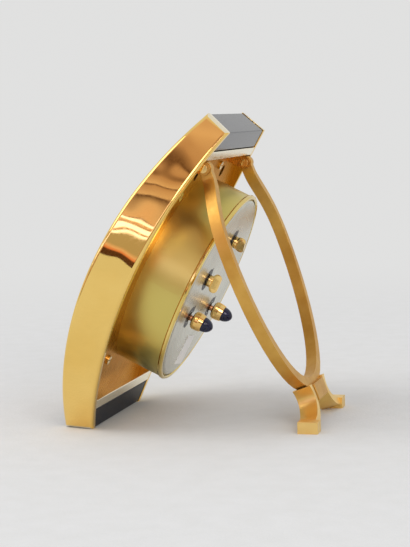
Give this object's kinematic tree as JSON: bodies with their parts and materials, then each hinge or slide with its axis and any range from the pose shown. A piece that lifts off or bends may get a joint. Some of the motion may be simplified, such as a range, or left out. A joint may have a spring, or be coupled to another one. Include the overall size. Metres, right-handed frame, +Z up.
{
  "type": "travel alarm clock",
  "caption": "Barrel-shaped gilt travel alarm clock with a round movement can, setting knobs, winding keys and a fold-out wire-bow strut.",
  "frame": {"origin": "middle of the footprint on the surface that the open clock stands on", "axes": "+Z up, the dial looks along -Y, the strut is at +Y, +X across the clock"},
  "size_m": [0.079, 0.0714, 0.0861],
  "materials": {
    "polished_gilt": "polished",
    "pale_gilt": "satin",
    "dark_lacquer": "gloss",
    "copper_gilt": "satin",
    "screw_brass": "polished",
    "crystal_glass": "clear",
    "ivory": "matt",
    "hand_blue": "gloss",
    "can_satin_brass": "satin",
    "silver_cover": "satin",
    "blank_white": "matt",
    "knob_gilt": "polished",
    "knob_stone": "gloss",
    "steel": "satin",
    "movement_brass": "satin",
    "blued_steel": "satin",
    "strut_satin_gilt": "satin"
  },
  "bodies": {
    "case": {"left_side_bar": "polished_gilt", "right_side_bar": "polished_gilt", "top_rail": "pale_gilt", "bottom_rail": "pale_gilt", "top_lacquer_block": "dark_lacquer", "bottom_lacquer_block": "dark_lacquer", "front_plate": "copper_gilt", "back_plate": "copper_gilt", "back_plate_screws": "screw_brass", "bezel": "polished_gilt", "crystal": "crystal_glass", "dial_ring": "ivory", "dial": "ivory", "hour_markers": "pale_gilt", "movement_can": "can_satin_brass", "can_rim": "polished_gilt", "back_cover": "silver_cover", "blank_plate": "blank_white", "main_plate": "movement_brass", "plate_pillars": "movement_brass", "rear_plate": "movement_brass", "hinge_brackets": "copper_gilt", "hinge_pins": "polished_gilt"},
    "strut": {"strut_bow": "strut_satin_gilt", "strut_collar": "strut_satin_gilt", "left_leg": "strut_satin_gilt", "right_leg": "strut_satin_gilt"},
    "minute_arbor": {"centre_arbor": "steel", "centre_wheel": "movement_brass", "minute_hand": "hand_blue"},
    "hour_pipe": {"hour_wheel": "movement_brass", "hour_hand": "hand_blue"},
    "minute_wheel_body": {"minute_wheel": "movement_brass"},
    "hand_setting": {"hand_setting_shaft": "steel", "hand_setting_knob": "knob_gilt", "hand_setting_stone": "knob_stone"},
    "third_wheel_body": {"third_wheel": "movement_brass"},
    "fourth_wheel_body": {"fourth_wheel": "movement_brass"},
    "escape_wheel_body": {"escape_wheel": "steel"},
    "time_barrel_body": {"time_barrel": "movement_brass"},
    "pallets": {"pallet_fork": "steel"},
    "balance": {"balance_wheel": "movement_brass", "hairspring": "blued_steel"},
    "regulator": {"regulator_index": "steel"},
    "alarm_pipe": {"alarm_wheel": "movement_brass", "alarm_hand": "pale_gilt"},
    "alarm_setting": {"alarm_setting_shaft": "steel", "alarm_setting_knob": "knob_gilt", "alarm_setting_stone": "knob_stone"},
    "time_winding": {"time_winding_arbor": "steel", "time_key": "knob_gilt", "time_ratchet_wheel": "steel"},
    "time_click_body": {"time_click": "steel"},
    "alarm_winding": {"alarm_winding_arbor": "steel", "alarm_key": "knob_gilt", "alarm_ratchet_wheel": "steel"},
    "alarm_click_body": {"alarm_click": "steel"},
    "alarm_barrel_body": {"alarm_barrel": "movement_brass"},
    "alarm_star": {"alarm_star_wheel": "steel"},
    "hammer": {"alarm_hammer": "steel"}
  },
  "joints": [
    {"name": "strut_fold", "type": "hinge", "parent": "case", "child": "strut", "pos_m": [0, 0.00671, 0.07137], "axis": [1, 0, 0], "range_deg": [-42.4, 0]},
    {"name": "minute_hand_turn", "type": "hinge", "parent": "case", "child": "minute_arbor", "pos_m": [0, -0.00674, 0.04065], "axis": [0, 0.8973, -0.4415], "continuous": true},
    {"name": "hour_hand_turn", "type": "hinge", "parent": "case", "child": "hour_pipe", "pos_m": [0, -0.00674, 0.04065], "axis": [0, 0.8973, -0.4415], "continuous": true},
    {"name": "minute_wheel_turn", "type": "hinge", "parent": "case", "child": "minute_wheel_body", "pos_m": [0.0055, -0.00828, 0.0375], "axis": [0, 0.8973, -0.4415], "continuous": true},
    {"name": "hand_setting_turn", "type": "hinge", "parent": "case", "child": "hand_setting", "pos_m": [0.012, -0.01005, 0.03392], "axis": [0, 0.8973, -0.4415], "continuous": true},
    {"name": "third_wheel_turn", "type": "hinge", "parent": "case", "child": "third_wheel_body", "pos_m": [-0.0086, -0.0063, 0.04154], "axis": [0, 0.8973, -0.4415], "continuous": true},
    {"name": "fourth_wheel_turn", "type": "hinge", "parent": "case", "child": "fourth_wheel_body", "pos_m": [-0.0146, -0.00431, 0.04558], "axis": [0, 0.8973, -0.4415], "continuous": true},
    {"name": "escape_wheel_turn", "type": "hinge", "parent": "case", "child": "escape_wheel_body", "pos_m": [-0.0182, -0.0063, 0.04154], "axis": [0, 0.8973, -0.4415], "continuous": true},
    {"name": "time_barrel_turn", "type": "hinge", "parent": "case", "child": "time_barrel_body", "pos_m": [0.011, -0.00497, 0.04423], "axis": [0, 0.8973, -0.4415], "continuous": true},
    {"name": "pallet_rock", "type": "hinge", "parent": "case", "child": "pallets", "pos_m": [-0.0186, -0.00864, 0.03679], "axis": [0, 0.8973, -0.4415], "range_deg": [-6, 6]},
    {"name": "balance_swing", "type": "hinge", "parent": "case", "child": "balance", "pos_m": [-0.0156, -0.01256, 0.0288], "axis": [0, 0.8973, -0.4415], "range_deg": [-135, 135], "stiffness_Nm_per_rad": 0.0000013},
    {"name": "regulator_turn", "type": "hinge", "parent": "case", "child": "regulator", "pos_m": [-0.0156, -0.01256, 0.0288], "axis": [0, 0.8973, -0.4415], "range_deg": [-20, 20]},
    {"name": "alarm_hand_turn", "type": "hinge", "parent": "case", "child": "alarm_pipe", "pos_m": [0, -0.00674, 0.04065], "axis": [0, 0.8973, -0.4415], "continuous": true},
    {"name": "alarm_setting_turn", "type": "hinge", "parent": "case", "child": "alarm_setting", "pos_m": [-0.012, -0.01005, 0.03392], "axis": [0, 0.8973, -0.4415], "continuous": true},
    {"name": "time_key_turn", "type": "hinge", "parent": "case", "child": "time_winding", "pos_m": [0.011, -0.00497, 0.04423], "axis": [0, 0.8973, -0.4415], "continuous": true},
    {"name": "time_click_rock", "type": "hinge", "parent": "case", "child": "time_click_body", "pos_m": [0.0176, -0.00391, 0.04639], "axis": [0, 0.8973, -0.4415], "range_deg": [-12, 12]},
    {"name": "alarm_key_turn", "type": "hinge", "parent": "case", "child": "alarm_winding", "pos_m": [0, -0.00011, 0.05411], "axis": [0, 0.8973, -0.4415], "continuous": true},
    {"name": "alarm_click_rock", "type": "hinge", "parent": "case", "child": "alarm_click_body", "pos_m": [-0.0058, 0.00099, 0.05635], "axis": [0, 0.8973, -0.4415], "range_deg": [-12, 12]},
    {"name": "alarm_barrel_turn", "type": "hinge", "parent": "case", "child": "alarm_barrel_body", "pos_m": [0, -0.00011, 0.05411], "axis": [0, 0.8973, -0.4415], "continuous": true},
    {"name": "alarm_star_turn", "type": "hinge", "parent": "case", "child": "alarm_star", "pos_m": [0.0076, 0.0009, 0.05617], "axis": [0, 0.8973, -0.4415], "continuous": true},
    {"name": "hammer_swing", "type": "hinge", "parent": "case", "child": "hammer", "pos_m": [0.0126, 0.00183, 0.05805], "axis": [0, 0.8973, -0.4415], "range_deg": [-18, 5]}
  ],
  "couplings": [
    {"joint": "hour_hand_turn", "follows": "minute_hand_turn", "ratio": 0.083333},
    {"joint": "minute_wheel_turn", "follows": "minute_hand_turn", "ratio": -0.25},
    {"joint": "hand_setting_turn", "follows": "minute_hand_turn", "ratio": 0.53333},
    {"joint": "third_wheel_turn", "follows": "minute_hand_turn", "ratio": -6.5},
    {"joint": "fourth_wheel_turn", "follows": "minute_hand_turn", "ratio": 34.938},
    {"joint": "escape_wheel_turn", "follows": "minute_hand_turn", "ratio": -159.71},
    {"joint": "time_barrel_turn", "follows": "minute_hand_turn", "ratio": -0.375},
    {"joint": "alarm_setting_turn", "follows": "alarm_hand_turn", "ratio": -2.1818},
    {"joint": "alarm_star_turn", "follows": "alarm_barrel_turn", "ratio": -5.4286}
  ]
}
